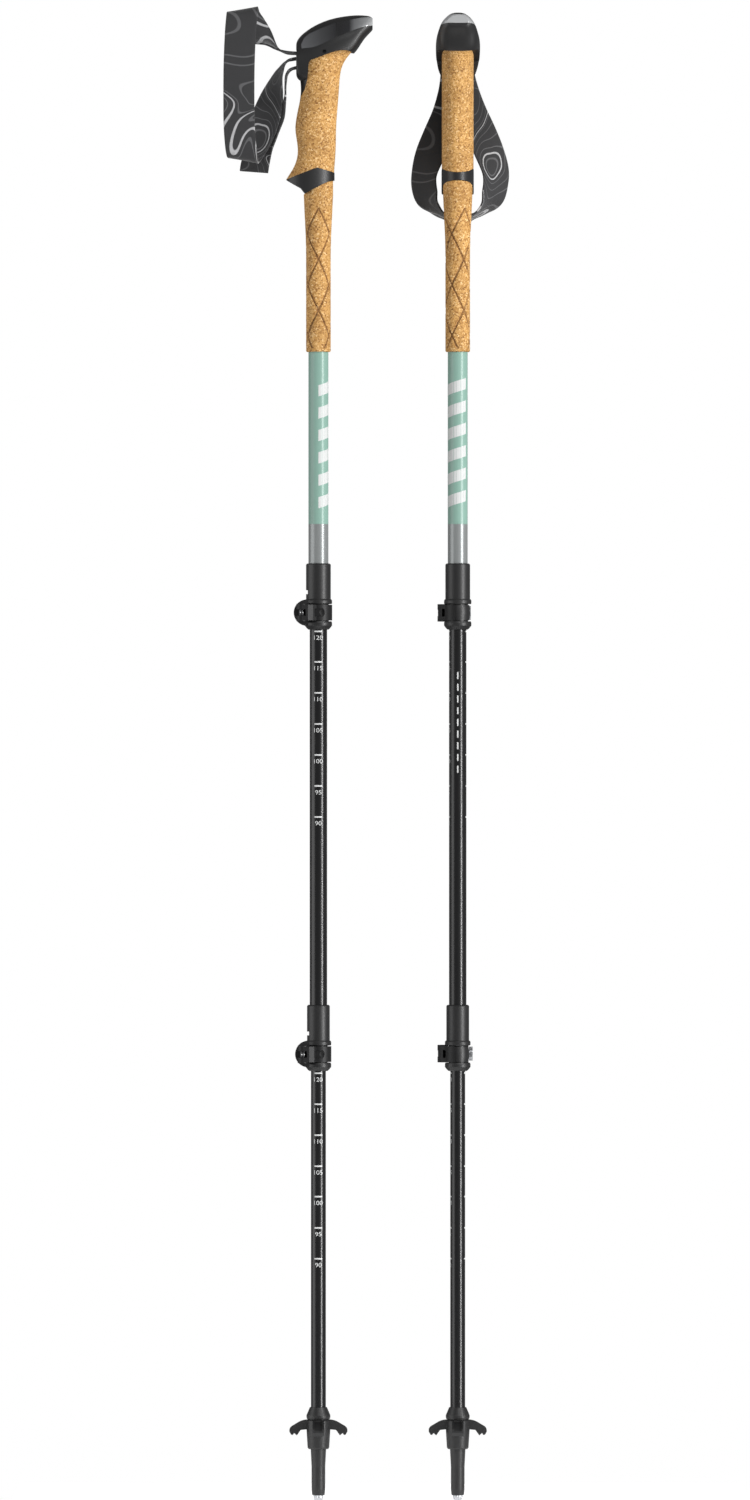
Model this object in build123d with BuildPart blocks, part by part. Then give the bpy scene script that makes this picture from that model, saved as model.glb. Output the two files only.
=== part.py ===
"""A pair of three-section trekking poles with cork grips and external lever locks.

Millimetres, +Z up.  Every piece is modelled on the pole's own axis, with heights counted from the
carbide point, nose of the grip towards +X.  save_pair() then puts one copy on each pole.  The
frame's origin is on the left pole's axis in the middle of its cork grip, where the hand closes.
"""
from math import cos, pi, sin
import os

from build123d import *

os.makedirs("parts", exist_ok=True)

# ---------------------------------------------------------------- driving dimensions
GRIP_HEIGHT = 1110.0      # middle of the cork grip above the point: the frame's origin
POLE_SPACING = 112.0      # between the two pole axes
FIT = 0.05                # radial running clearance
GLUE = 0.02               # radial gap of a glued or pressed seat
GAP = 0.3                 # between curved faces of pieces that move past each other

UPPER_RADIUS = 8.0        # 16, 14 and 12 mm tubes
MID_RADIUS = 7.0
LOWER_RADIUS = 6.0
TUBE_WALL = 0.7
UPPER_TUBE = (728.2, 1153.0)      # bottom and top of each tube
MID_TUBE = (373.4, 836.0)
LOWER_TUBE = (62.0, 555.0)

STRAP_WIDTH = 25.0
STRAP_THICKNESS = 1.5

LEFT = Location((0, 0, -GRIP_HEIGHT))
RIGHT = Location((POLE_SPACING, 0, -GRIP_HEIGHT), (0, 0, -90))


def save(piece, name, place):
    """Write one piece at its place."""
    placed = piece.moved(place)
    placed.label = name
    export_step(placed, f"parts/{name}.step")


def save_pair(piece, name):
    """Write one piece at its place on each of the two poles."""
    save(piece, f"left_{name}", LEFT)
    save(piece, f"right_{name}", RIGHT)


def turned(*outline):
    """A ring or plug turned about the pole's axis from its (radius, height) outline."""
    with BuildPart() as made:
        with BuildSketch(Plane.XZ):
            with BuildLine():
                Polyline(*outline, close=True)
            make_face()
        revolve(axis=Axis.Z)
    return made.part


def side_slab(outline, half_width):
    """The block that a side-view (x, height) outline cuts right across the pole."""
    with BuildPart() as made:
        with BuildSketch(Plane.XZ):
            with BuildLine():
                Polyline(*outline, close=True)
            make_face()
        extrude(amount=half_width, both=True)
    return made.part


# ---------------------------------------------------------------- tubes and guide bushes
def drawn_tube(radius, low, high):
    with BuildPart() as made:
        with BuildSketch(Plane.XY.offset(low)):
            Circle(radius)
            Circle(radius - TUBE_WALL, mode=Mode.SUBTRACT)
        extrude(amount=high - low)
    return made.part


def guide_bush(tube_radius, outer_tube_radius, tube_top):
    """Plug in an inner tube's top end, whose flange rides on the bore of the tube outside it."""
    stem = tube_radius - TUBE_WALL - FIT
    flange = outer_tube_radius - TUBE_WALL - FIT
    core = stem - 2.0
    return turned(
        (core, tube_top - 8), (stem - 0.5, tube_top - 8), (stem, tube_top - 7.2),
        (stem, tube_top + GAP), (flange, tube_top + GAP), (flange, tube_top + 5.4),
        (flange - 0.8, tube_top + 6.0), (core, tube_top + 6.0),
    )


save_pair(drawn_tube(UPPER_RADIUS, *UPPER_TUBE), "upper_tube")
save_pair(drawn_tube(MID_RADIUS, *MID_TUBE), "mid_tube")
save_pair(drawn_tube(LOWER_RADIUS, *LOWER_TUBE), "lower_tube")
save_pair(guide_bush(MID_RADIUS, UPPER_RADIUS, MID_TUBE[1]), "mid_guide")
save_pair(guide_bush(LOWER_RADIUS, MID_RADIUS, LOWER_TUBE[1]), "lower_guide")

# ---------------------------------------------------------------- grip: shared outlines
GRIP_HALF_WIDTH = 12.75
GRIP_SECTIONS = [         # height, rear edge, front edge
    (1065, -27.2, 12.4), (1071, -24.0, 12.7), (1078, -19.8, 12.9), (1087, -16.9, 13.6),
    (1097, -17.0, 14.0), (1107, -18.4, 14.2), (1116, -17.9, 14.6), (1126, -16.0, 15.4),
    (1136, -14.3, 16.2), (1146, -14.4, 16.9), (1156, -15.9, 18.2), (1164, -17.2, 21.6),
    (1173, -18.0, 28.4),
]
HEAD_SECTIONS = [         # x, lowest, highest, half width
    (-17.8, 1154.0, 1175.5, 14.4), (-16.4, 1149.0, 1180.6, 15.4), (-12.0, 1146.5, 1185.4, 15.9),
    (-5.0, 1147.0, 1190.4, 16.8), (5.0, 1153.0, 1195.2, 17.4), (20.0, 1163.0, 1199.0, 17.0),
    (30.0, 1171.0, 1200.0, 15.6), (37.5, 1181.8, 1199.8, 13.2), (42.0, 1186.6, 1198.8, 10.4),
    (43.6, 1188.8, 1197.4, 8.4),
]
SHOULDER = 0.36           # how much the head narrows from its middle to its top
# The seam between cork and head, from the nose back to the tip of the rear spine.
HEAD_SEAM = [
    (27.0, 1170.2), (22.0, 1171.4), (17.0, 1171.2), (11.0, 1169.6), (5.0, 1167.4), (-1.5, 1165.0),
    (-6.0, 1163.4), (-7.6, 1161.6), (-8.0, 1158.0), (-8.8, 1148.0), (-11.0, 1140.0), (-13.4, 1135.6),
]
COLLAR_TOP = [(-26.0, 1067.7), (-1.0, 1077.2), (12.5, 1073.5), (20.0, 1071.5)]
COLLAR_FOOT = [(12.5, 1067.2), (7.0, 1065.6), (-3.0, 1060.6), (-10.5, 1056.5)]
PIN_PLACE = (5.0, 1170.0)         # cross pin through the head
PIN_RADIUS = 1.5


def grip_form():
    """The hand-shaped column that the cork and the rear spine are both cut from."""
    with BuildPart() as made:
        for height, rear, front in GRIP_SECTIONS:
            with BuildSketch(Plane.XY.offset(height)):
                with Locations(((front + rear) / 2, 0)):
                    Ellipse((front - rear) / 2, GRIP_HALF_WIDTH)
        loft()
    return made.part


def head_form(skin):
    """The head's outer skin, drawn inwards by skin, lofted from rounded sections along X."""
    power = 2.8
    steps = 16
    with BuildPart() as made:
        for x, low, high, half_width in HEAD_SECTIONS:
            wide = half_width - skin
            tall = (high - low) / 2 - skin
            points = []
            for step in range(steps):
                angle = 2 * pi * step / steps
                across = abs(cos(angle)) ** (2 / power) * (1 if cos(angle) > 0 else -1)
                along = abs(sin(angle)) ** (2 / power) * (1 if sin(angle) > 0 else -1)
                across *= 1 - SHOULDER * max(along, 0)
                points.append((wide * across, (high + low) / 2 + tall * along))
            nearer = x - skin if x > 0 else x + skin
            with BuildSketch(Plane.YZ.offset(nearer)):
                with BuildLine():
                    Spline(*points, periodic=True)
                make_face()
        loft()
    return made.part


head_side = side_slab(HEAD_SEAM + [(-30, 1130), (-30, 1215), (60, 1215), (60, 1160)], 30)
# Slot for the strap: a low chamber for the wedge, and a high one that reaches the pin.
strap_slot = side_slab(
    [
        (-24, 1156.4), (-8.9, 1156.4), (-8.9, 1163.8), (-6.0, 1166.4), (3.3, 1168.4),
        (3.3, 1171.8), (-24, 1171.8),
    ],
    STRAP_WIDTH / 2 + 0.25,
)
# The two side windows, and the one that wraps the nose, as seen from the side.
SIDE_WINDOW = [
    (-13.4, 1172.6), (-4.6, 1173.4), (0.0, 1174.9), (14.0, 1181.3), (14.0, 1193.6), (1.9, 1188.9),
    (-7.7, 1184.6), (-11.5, 1181.2), (-13.8, 1176.1),
]
NOSE_WINDOW = [
    (15.2, 1181.8), (25.0, 1186.1), (35.5, 1189.9), (50.0, 1192.4), (50.0, 1198.7), (36.6, 1198.0),
    (15.2, 1194.0),
]

# ---------------------------------------------------------------- cork grip
with BuildPart() as cork_grip:
    add(grip_form())
    add(head_side, mode=Mode.SUBTRACT)
    add(side_slab([(-40, 1060)] + COLLAR_TOP + [(40, 1068), (40, 1030), (-40, 1030)], 30),
        mode=Mode.SUBTRACT)
    with BuildSketch(Plane.XY.offset(1040)):
        Circle(UPPER_RADIUS + GLUE)
    extrude(amount=150, mode=Mode.SUBTRACT)
save_pair(cork_grip.part, "cork_grip")

# ---------------------------------------------------------------- head and its window
WINDOW_THICKNESS = 1.4
window_core = head_form(WINDOW_THICKNESS)


def window_pane(outline):
    """The part of the head's outer skin that lies inside a side-view outline."""
    with BuildPart() as made:
        add(head_form(0))
        add(side_slab(outline, 30), mode=Mode.INTERSECT)
        add(window_core, mode=Mode.SUBTRACT)
    return made.part


side_windows = window_pane(SIDE_WINDOW)
nose_window = window_pane(NOSE_WINDOW)

with BuildPart() as rear_spine:
    add(grip_form())
    with BuildSketch(Plane.XZ):
        with BuildLine():
            Polyline(*HEAD_SEAM[6:], (-30, 1130), (-30, 1170), (-6, 1170), close=True)
        make_face()
    extrude(amount=30, both=True, mode=Mode.INTERSECT)

with BuildPart() as grip_head:
    add(head_form(0))
    add(head_side, mode=Mode.INTERSECT)
    add(rear_spine.part)
    add(side_windows, mode=Mode.SUBTRACT)
    add(nose_window, mode=Mode.SUBTRACT)
    # stem: a plug in the tube's end and a neck through the cork
    with BuildSketch(Plane.XY.offset(UPPER_TUBE[1])):
        Circle(UPPER_RADIUS)
    extrude(amount=16)
    with BuildSketch(Plane.XY.offset(UPPER_TUBE[1] - 9)):
        Circle(UPPER_RADIUS - TUBE_WALL - GLUE)
    extrude(amount=9)
    add(strap_slot, mode=Mode.SUBTRACT)
    with BuildSketch(Plane.XZ):
        with Locations(PIN_PLACE):
            Circle(PIN_RADIUS + GLUE)
    extrude(amount=30, both=True, mode=Mode.SUBTRACT)
save_pair(grip_head.part, "grip_head")
save_pair(side_windows, "side_windows")
save_pair(nose_window, "nose_window")

with BuildPart() as head_pin:
    with BuildSketch(Plane.XZ):
        with Locations(PIN_PLACE):
            Circle(PIN_RADIUS)
    extrude(amount=15.2, both=True)
    chamfer(head_pin.edges(), 0.3)
save_pair(head_pin.part, "head_pin")

with BuildPart() as strap_wedge:
    with BuildSketch(Plane.XZ):
        with BuildLine():
            Polyline((-14.8, 1159.8), (-11.4, 1160.3), (-11.4, 1162.5), (-14.8, 1163.0), close=True)
        make_face()
    extrude(amount=12.4, both=True)
save_pair(strap_wedge.part, "strap_wedge")

# ---------------------------------------------------------------- collar and lower cork
with BuildPart() as grip_collar:
    add(side_slab(COLLAR_TOP[:3] + [(16.0, 1072.5), (16.0, 1067.8)] + COLLAR_FOOT + [(-14.4, 1061.4)],
                  20))
    with BuildSketch(Plane.XY.offset(1040)):
        with Locations((-6.5, 0)):
            Ellipse(19.5, 13.0)
    extrude(amount=50, mode=Mode.INTERSECT)
    with BuildSketch(Plane.XY.offset(1040)):
        Circle(UPPER_RADIUS + GLUE)
    extrude(amount=50, mode=Mode.SUBTRACT)
save_pair(grip_collar.part, "grip_collar")

with BuildPart() as cork_sleeve:
    with BuildSketch(Plane.XZ):
        with BuildLine():
            foot = Polyline((UPPER_RADIUS + GLUE, 1072), (UPPER_RADIUS + GLUE, 929.4), (9.2, 929.4),
                            (9.9, 930.1), (9.9, 1008))
            flare = Spline(foot @ 1, (10.2, 1022), (11.2, 1042), (11.8, 1056), tangents=[(0, 1), (0, 1)])
            Polyline(flare @ 1, (11.8, 1072), foot @ 0)
        make_face()
    revolve(axis=Axis.Z)
    add(side_slab([(-40, 1056.5)] + COLLAR_FOOT[::-1] + [(40, 1068), (40, 1090), (-40, 1090)], 30),
        mode=Mode.SUBTRACT)
save_pair(cork_sleeve.part, "cork_sleeve")

# ---------------------------------------------------------------- wrist straps
# Each strap is one length of webbing: sewn round the head's pin, out of the slot, round the wrist,
# back into the slot, round the wedge and out again as the free tail.  A station is the middle of
# the webbing and the way its width points, chosen by hand along the route.
STRAP_ROOT = [
    ((2.6, 0, 1169.9), (0, 1, 0)), ((-8, 0, 1169.7), (0, 1, 0)), ((-17.5, 0, 1169.5), (0, 1, 0)),
]
STRAP_WEDGE_TURN = [
    ((-17.5, 0, 1165.2), (0, -1, 0)), ((-13.4, 0, 1164.6), (0, -1, 0)),
    ((-10.8, 0, 1163.7), (0, -1, 0)), ((-9.9, 0, 1161.4), (0, -1, 0)),
    ((-10.8, 0, 1159.1), (0, -1, 0)), ((-13.4, 0, 1158.2), (0, -1, 0)),
    ((-17.5, 0, 1157.9), (0, -1, 0)),
]
LEFT_LOOP = [
    ((-26, 0, 1170.2), (0, 1, 0)), ((-33, 1, 1172.8), (0.02, 0.99, 0.09)),
    ((-38.9, 2, 1177.5), (0.25, 0.95, 0.16)), ((-47.5, 4.5, 1184.5), (0.6, 0.62, 0.5)),
    ((-54, 6.5, 1192.5), (0.88, 0.35, 0.3)), ((-58.8, 7.5, 1198.5), (0.98, 0.1, 0.16)),
    ((-60.4, 4.2, 1203.2), (0.985, 0, 0.17)), ((-60.9, -3, 1204.0), (0.985, 0, 0.17)),
    ((-61.4, -8.4, 1199.6), (0.99, 0, 0.1)), ((-62.6, -10.5, 1185), (1, 0, 0.04)),
    ((-63.6, -11, 1160), (1, 0, 0)), ((-63.8, -11, 1135), (1, 0, 0)),
    ((-63.6, -11, 1112), (1, 0, -0.02)), ((-62.4, -10, 1095), (0.99, 0, -0.1)),
    ((-61.0, -6.5, 1086.4), (0.98, 0, -0.18)), ((-60.2, 0, 1084.0), (0.98, 0, -0.18)),
    ((-58.6, 5.4, 1087), (0.97, -0.05, -0.24)), ((-54.6, 7, 1093.6), (0.94, -0.12, -0.34)),
    ((-49.8, 7, 1101.4), (0.92, -0.2, -0.36)), ((-45.2, 6.8, 1111), (0.9, -0.3, -0.34)),
    ((-40.9, 6.4, 1122.8), (0.84, -0.45, -0.3)), ((-37.4, 5.4, 1134.6), (0.7, -0.68, -0.18)),
    ((-33.6, 4, 1147.6), (0.4, -0.91, -0.05)), ((-30, 2.4, 1155.8), (0.22, -0.97, 0)),
    ((-25, 0.6, 1163), (0.05, -1, 0)),
]
LEFT_TAIL = [
    ((-22.4, 1, 1156), (0, -1, 0)), ((-25.4, 2.4, 1151.6), (0, -1, 0)),
    ((-26.4, 4.6, 1144), (0, -1, 0)), ((-26.9, 8, 1132), (0.05, -1, 0)),
    ((-30.2, 12.4, 1119), (0.25, -0.95, 0)), ((-38.5, 14.8, 1106), (0.52, -0.84, -0.1)),
    ((-46.8, 15.4, 1094), (0.76, -0.58, -0.22)), ((-50.6, 14.8, 1083), (0.84, -0.42, -0.24)),
    ((-52, 14, 1074.7), (0.85, -0.4, -0.245)),
]
RIGHT_LOOP = [
    ((-26, 0, 1165.4), (0, 1, 0)), ((-32.6, -1, 1155), (0, 1, 0)),
    ((-35, -3, 1140), (0, 0.99, -0.1)), ((-34.6, -8, 1122), (0, 0.95, -0.3)),
    ((-33.5, -15, 1106), (0.15, 0.9, -0.38)), ((-31.5, -22, 1090), (0.35, 0.86, -0.36)),
    ((-29, -26.5, 1075), (0.6, 0.78, -0.2)), ((-27.8, -27, 1065), (0.62, 0.78, -0.05)),
    ((-27, -24.5, 1055), (0.64, 0.75, -0.12)), ((-26.5, -19, 1047), (0.75, 0.6, -0.28)),
    ((-26, -11, 1040), (0.88, 0.38, -0.08)), ((-26, 1, 1036.8), (0.92, 0, 0.38)),
    ((-26, 13.4, 1040), (0.88, -0.38, -0.08)), ((-26.5, 22, 1046.6), (0.75, -0.6, -0.28)),
    ((-27, 28, 1055), (0.64, -0.75, -0.12)), ((-27.6, 30.6, 1065), (0.62, -0.78, 0)),
    ((-28.5, 30.5, 1077), (0.5, -0.85, -0.15)), ((-29.5, 25.5, 1092), (0.3, -0.9, -0.3)),
    ((-30.5, 18.5, 1108), (0.1, -0.92, -0.35)), ((-31, 11, 1124), (0, -0.93, -0.35)),
    ((-30.8, 5, 1140), (0, -0.97, -0.2)), ((-28.6, 1.5, 1153), (0, -1, -0.05)),
    ((-23.6, 0, 1162.6), (0, -1, 0)),
]
RIGHT_TAIL = [
    ((-22, 0, 1154.5), (0, -1, 0)), ((-23, 0, 1142), (0, -1, 0)), ((-23.4, 0, 1126), (0, -1, 0)),
    ((-23.2, 0, 1110), (0, -1, 0)), ((-22.6, 0, 1096), (0, -1, 0)), ((-22.4, 0, 1088), (0, -1, 0)),
]


def webbing(stations):
    """A ribbon of webbing through its stations, square across at each one."""
    planes = []
    for index, (middle, width) in enumerate(stations):
        before = Vector(*stations[max(index - 1, 0)][0])
        after = Vector(*stations[min(index + 1, len(stations) - 1)][0])
        along = (after - before).normalized()
        across = Vector(*width)
        across = (across - along * across.dot(along)).normalized()
        planes.append(Plane(origin=middle, x_dir=across, z_dir=along))
    with BuildPart() as made:
        for near, far in zip(planes, planes[1:]):
            with BuildSketch(near, far):
                Rectangle(STRAP_WIDTH, STRAP_THICKNESS)
            loft(ruled=True)
    return made.part


def route_length(stations):
    """Length of webbing along the middles of its stations."""
    middles = [Vector(*middle) for middle, width in stations]
    return sum((b - a).length for a, b in zip(middles, middles[1:]))


for side, place, loop, tail in [
    ("left", LEFT, LEFT_LOOP, LEFT_TAIL),
    ("right", RIGHT, RIGHT_LOOP, RIGHT_TAIL),
]:
    strap_stations = STRAP_ROOT + loop + STRAP_WEDGE_TURN + tail
    print(side, "strap length", round(route_length(strap_stations)))
    save(webbing(strap_stations), f"{side}_strap", place)

# ---------------------------------------------------------------- lever locks
LOCKS = {
    "upper": dict(
        height=719.8, outer=UPPER_RADIUS, inner=MID_RADIUS, sleeve=9.95, flange=11.0,
        ear=-9.3, pivot=-13.3, ear_back=7.3,
    ),
    "lower": dict(
        height=365.0, outer=MID_RADIUS, inner=LOWER_RADIUS, sleeve=9.15, flange=10.3,
        ear=-8.2, pivot=-12.3, ear_back=8.8,
    ),
}
SLEEVE_RISE = 39.5        # top of the sleeve above the lock's middle
EAR_RADIUS = 10.5
EAR_FRONT = 7.3           # face that the cam bears on, towards -Y
PIVOT_Y = -11.9
CAM_RADIUS = 4.3
CAM_HALF_HEIGHT = 7.0
TONGUE_HALF_HEIGHT = 6.3
FORK_HALF_GAP = 2.6
LEVER_PIN_RADIUS = 1.25
SCREW_RADIUS = 2.0
NUT_RADIUS = 5.6
NUT_THICKNESS = 3.0
SLIT_HALF_WIDTH = 0.9
BAND_HALF_HEIGHT = 6.2
BAND_END_X = -5.6


def lock_sleeve(height, outer, inner, sleeve, flange, ear, pivot, ear_back):
    """Moulding on a tube's lower end: sleeve, two flanges, slit collar and two round ears."""
    seat = outer + GLUE
    bore = inner + FIT
    neck = bore + 1.3
    top = height + SLEEVE_RISE
    with BuildPart() as made:
        add(turned(
            (bore, height - 13.6), (flange - 2.9, height - 13.6), (flange - 1.7, height - 12.6),
            (flange, height - 10.4), (flange, height - 8.2), (flange - 0.4, height - 7.0),
            (neck, height - 7.0), (neck, height + 6.9), (flange - 0.4, height + 6.9),
            (flange, height + 7.5), (flange, height + 9.7), (flange - 0.5, height + 10.6),
            (sleeve, height + 10.9), (sleeve, top - 0.9), (sleeve - 0.9, top), (seat, top),
            (seat, height + 8.4), (bore, height + 8.4),
        ))
        with BuildSketch(Plane.XZ.offset(-ear_back)):
            with Locations((ear, height)):
                Circle(EAR_RADIUS)
            with Locations((1.5, height)):
                Rectangle(16, 30, mode=Mode.SUBTRACT)
        extrude(amount=ear_back + EAR_FRONT)
        with BuildSketch(Plane.XY.offset(height - 20)):
            Circle(bore)
        extrude(amount=28.4, mode=Mode.SUBTRACT)
        with BuildSketch(Plane.XY.offset(height + 8.4)):
            Circle(seat)
        extrude(amount=10, mode=Mode.SUBTRACT)
        # slit that lets the collar close, and the cross slot that ends it
        with BuildSketch(Plane.XY.offset(height - 20)):
            with Locations((-14, 0)):
                Rectangle(18, 2 * SLIT_HALF_WIDTH)
        extrude(amount=35, mode=Mode.SUBTRACT)
        with BuildSketch(Plane.XZ):
            with Locations((-sleeve, height + 16.5)):
                Rectangle(2 * (sleeve - seat - 0.5), 3.2)
        extrude(amount=12, both=True, mode=Mode.SUBTRACT)
        with BuildSketch(Plane.XZ):
            with Locations((pivot, height)):
                Circle(SCREW_RADIUS + 0.1)
        extrude(amount=20, both=True, mode=Mode.SUBTRACT)
    return made.part


def lock_band(height, inner, sleeve):
    """Barrel-faced clamp band in the groove, open towards the ears."""
    neck = inner + FIT + 1.3 + GLUE
    with BuildPart() as made:
        with BuildSketch(Plane.XZ):
            with BuildLine():
                low = (sleeve - 0.6, height - BAND_HALF_HEIGHT)
                high = (sleeve - 0.6, height + BAND_HALF_HEIGHT)
                ThreePointArc(low, (sleeve, height), high)
                Polyline(high, (neck, high[1]), (neck, low[1]), low)
            make_face()
        revolve(axis=Axis.Z)
        with BuildSketch(Plane.XY.offset(height - 10)):
            with Locations((BAND_END_X - 10, 0)):
                Rectangle(20, 40)
        extrude(amount=20, mode=Mode.SUBTRACT)
    return made.part


def lock_lever(height, sleeve, flange, pivot):
    """Forked cam lever: two prongs on the pin, and a tongue that wraps the band when shut."""
    inside = sleeve + GAP
    outside = flange + 0.3
    with BuildPart() as made:
        with BuildSketch(Plane.XY.offset(height - TONGUE_HALF_HEIGHT)):
            Circle(outside)
            with BuildLine():
                Polyline((0, 0), (-30, 0), (-30, 40), (40, 40), (40, -8), close=True)
            make_face(mode=Mode.SUBTRACT)
            with BuildLine():
                Polyline((-30, 0), (-30, -40), (-outside * 0.56, -40), (-outside * 0.56, 0), close=True)
            make_face(mode=Mode.SUBTRACT)
            with BuildLine():
                Polyline(
                    (pivot, PIVOT_Y - CAM_RADIUS), (pivot + 5, PIVOT_Y - CAM_RADIUS + 0.5),
                    (pivot + 9, PIVOT_Y - CAM_RADIUS + 2.4), (-1.5, -outside), (-1.5, -inside + 0.5),
                    (-outside * 0.57, -8.6), (pivot + 3.9, PIVOT_Y + 1.8), (pivot, PIVOT_Y), close=True,
                )
            make_face()
            Circle(inside, mode=Mode.SUBTRACT)
        extrude(amount=2 * TONGUE_HALF_HEIGHT)
        with BuildSketch(Plane.XY.offset(height - CAM_HALF_HEIGHT)):
            with Locations((pivot, PIVOT_Y)):
                Circle(CAM_RADIUS)
        extrude(amount=2 * CAM_HALF_HEIGHT)
        # slot between the prongs, for the screw's eye
        with BuildSketch(Plane.XZ):
            with Locations((pivot - 1, height)):
                Rectangle(8.4, 2 * FORK_HALF_GAP)
        extrude(amount=30, mode=Mode.SUBTRACT)
        with BuildSketch(Plane.XY.offset(height - 10)):
            with Locations((pivot, PIVOT_Y)):
                Circle(LEVER_PIN_RADIUS + FIT)
        extrude(amount=20, mode=Mode.SUBTRACT)
        # channel from the prongs to the thumb hollow at the tongue's end
        with BuildSketch(Plane.XZ.offset(outside + 0.2)):
            with Locations((-3.0, height)):
                SlotOverall(13.0, 6.4)
        extrude(amount=1.1, both=True, mode=Mode.SUBTRACT)
        with Locations((3.6, -outside - 5.6, height)):
            Sphere(7.0, mode=Mode.SUBTRACT)
    return made.part


def lock_screw(height, pivot, length):
    """Draw screw: an eye round the lever's pin, and a shank along +Y through the ears."""
    with BuildPart() as made:
        with BuildSketch(Plane.XY.offset(height - FORK_HALF_GAP + GAP)):
            with Locations((pivot, PIVOT_Y)):
                Circle(2.5)
        extrude(amount=2 * (FORK_HALF_GAP - GAP))
        with BuildSketch(Plane.XZ.offset(-length)):
            with Locations((pivot, height)):
                Circle(SCREW_RADIUS)
        extrude(amount=length - PIVOT_Y - 1.5)
        with BuildSketch(Plane.XY.offset(height - 10)):
            with Locations((pivot, PIVOT_Y)):
                Circle(LEVER_PIN_RADIUS + GLUE)
        extrude(amount=20, mode=Mode.SUBTRACT)
    return made.part


def lock_pin(height, pivot):
    with BuildPart() as made:
        with BuildSketch(Plane.XY.offset(height - 6.7)):
            with Locations((pivot, PIVOT_Y)):
                Circle(LEVER_PIN_RADIUS)
        extrude(amount=13.4)
        chamfer(made.edges(), 0.2)
    return made.part


def lock_nut(height, pivot, ear_back):
    """Knurled thumb nut that sets how hard the lever clamps."""
    near = ear_back + GAP
    with BuildPart() as made:
        with BuildSketch(Plane.XZ.offset(-near - NUT_THICKNESS)):
            with Locations((pivot, height)):
                Circle(NUT_RADIUS)
                with PolarLocations(NUT_RADIUS, 24):
                    Circle(0.36, mode=Mode.SUBTRACT)
                Circle(SCREW_RADIUS + FIT, mode=Mode.SUBTRACT)
        extrude(amount=NUT_THICKNESS)
    return made.part


for end, lock in LOCKS.items():
    height = lock["height"]
    pivot = lock["pivot"]
    save_pair(lock_sleeve(**lock), f"{end}_lock_sleeve")
    save_pair(lock_band(height, lock["inner"], lock["sleeve"]), f"{end}_lock_band")
    save_pair(lock_lever(height, lock["sleeve"], lock["flange"], pivot), f"{end}_lock_lever")
    save_pair(
        lock_screw(height, pivot, lock["ear_back"] + NUT_THICKNESS - 0.2), f"{end}_lock_screw"
    )
    save_pair(lock_pin(height, pivot), f"{end}_lock_pin")
    save_pair(lock_nut(height, pivot, lock["ear_back"]), f"{end}_lock_nut")

# ---------------------------------------------------------------- tip
SEAT_RADIUS = 7.4         # seat that the basket turns on
CAP_RADIUS = 5.5          # straight stretch that a rubber foot pushes on to

with BuildPart() as tip_ferrule:
    add(turned(
        (0, 10.4), (4.7, 10.4), (5.1, 10.8), (CAP_RADIUS, 15.0), (CAP_RADIUS, 33.0), (6.2, 47.0),
        (6.2, 49.6), (SEAT_RADIUS, 49.6), (SEAT_RADIUS, 71.6), (9.2, 71.6), (9.6, 73.0),
        (9.6, 74.6), (6.9, 81.0), (LOWER_RADIUS + GLUE, 81.0), (LOWER_RADIUS + GLUE, 61.8), (0, 61.8),
    ))
    with BuildSketch(Plane.XY):
        Circle(3.0)
    extrude(amount=26, mode=Mode.SUBTRACT)
save_pair(tip_ferrule.part, "tip_ferrule")

with BuildPart() as carbide_tip:
    add(turned(
        (0, 1.2), (1.3, 0.4), (2.0, 0.0), (2.3, 3.4), (3.1, 6.4), (4.0, 9.0), (4.0, 10.2),
        (2.98, 10.2), (2.98, 25.8), (0, 25.8),
    ))
    with PolarLocations(4.6, 8):
        Cylinder(0.9, 10.2, align=(Align.CENTER, Align.CENTER, Align.MIN), mode=Mode.SUBTRACT)
save_pair(carbide_tip.part, "carbide_tip")

BASKET_BORE = SEAT_RADIUS + FIT
ARMS = 4
with BuildPart() as basket:
    # arms: a drooping, double-toothed outline from above the hub out to the rim
    with BuildSketch(Plane.XZ):
        with BuildLine():
            crest = Spline((7.8, 71.0), (14.7, 69.6), (19.6, 66.8), (23.3, 61.6),
                           tangents=[(1, 0), (-0.1, -1)])
            Polyline(crest @ 1, (21.9, 59.2), (20.6, 58.9), (19.5, 60.5), (17.3, 58.6), (14.2, 63.0),
                     (7.8, 63.6), crest @ 0)
        make_face()
    extrude(amount=4.6, both=True)
    # groove along each arm's back, between its two ribs
    with BuildSketch(Plane.XZ):
        with BuildLine():
            groove = Spline((10.5, 69.6), (14.6, 68.0), (18.8, 65.4), (21.2, 62.4))
            Polyline(groove @ 1, (30, 66), (20, 76), (10.5, 76), groove @ 0)
        make_face()
    extrude(amount=3.0, both=True, mode=Mode.SUBTRACT)
    arm = basket.part
with BuildPart() as basket:
    for turn in range(ARMS):
        add(arm.rotate(Axis.Z, 360 / ARMS * turn))
    add(turned(
        (BASKET_BORE, 71.2), (8.8, 71.2), (9.6, 70.2), (9.6, 63.4), (8.7, 48.6), (8.0, 47.5),
        (6.3, 47.5), (6.3, 49.3), (BASKET_BORE, 49.3),
    ))
    with BuildSketch(Plane.XY.offset(49.3)):
        Circle(BASKET_BORE)
    extrude(amount=40, mode=Mode.SUBTRACT)
save_pair(basket.part, "basket")
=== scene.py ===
from math import atan2, cos, exp, pi, radians, sin, sqrt

import bmesh
import bpy
from mathutils import Matrix, Vector


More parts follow.
